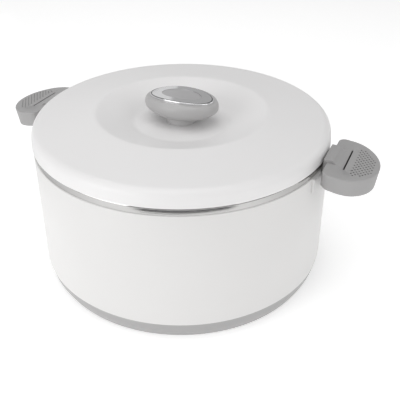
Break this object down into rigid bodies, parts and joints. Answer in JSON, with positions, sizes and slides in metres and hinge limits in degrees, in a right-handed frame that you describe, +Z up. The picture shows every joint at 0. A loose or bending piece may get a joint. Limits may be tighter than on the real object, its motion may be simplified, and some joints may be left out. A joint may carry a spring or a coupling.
{
  "type": "insulated casserole",
  "caption": "Round insulated casserole: steel bowl in a double wall, lift-off lid with an oval knob in a recessed top, and fold-down side handles.",
  "frame": {"origin": "Centre of the foot ring, on the table plane.", "axes": "+Z is up. The handles lie on +X and -X and the knob's long axis runs along X. The casserole is symmetric about the XZ and YZ planes."},
  "size_m": [0.4394, 0.3332, 0.2046],
  "materials": {
    "white_plastic": "satin",
    "grey_plastic": "satin",
    "liner_plastic": "satin",
    "inset_plastic": "gloss",
    "chromed_trim": "polished",
    "stainless": "polished",
    "hardware_steel": "satin",
    "foam": "matte"
  },
  "bodies": {
    "pot": {"outer_casing": "white_plastic", "base_shell": "grey_plastic", "fill_plug": "grey_plastic", "inner_bowl": "stainless", "body_insulation": "foam", "handle_bracket_right": "grey_plastic", "handle_bracket_left": "grey_plastic", "bracket_screws_right": "hardware_steel", "bracket_screws_left": "hardware_steel", "hinge_pin_right": "hardware_steel", "hinge_pin_left": "hardware_steel"},
    "lid": {"lid_cover": "white_plastic", "lid_liner": "liner_plastic", "lid_insulation": "foam", "knob_collar": "grey_plastic", "knob_body": "grey_plastic", "knob_plate": "chromed_trim", "knob_inset": "inset_plastic", "knob_screw": "hardware_steel", "knob_washer": "hardware_steel"},
    "grip_right": {"handle_right": "grey_plastic"},
    "grip_left": {"handle_left": "grey_plastic"}
  },
  "joints": [
    {"name": "lid_lift", "type": "slide", "parent": "pot", "child": "lid", "axis": [0, 0, 1], "range_m": [0, 0.12]},
    {"name": "handle_right_fold", "type": "hinge", "parent": "pot", "child": "grip_right", "pos_m": [0.177, 0, 0.152], "axis": [0, 1, 0], "range_deg": [0, 88]},
    {"name": "handle_left_fold", "type": "hinge", "parent": "pot", "child": "grip_left", "pos_m": [-0.177, 0, 0.152], "axis": [0, -1, 0], "range_deg": [0, 88]}
  ]
}
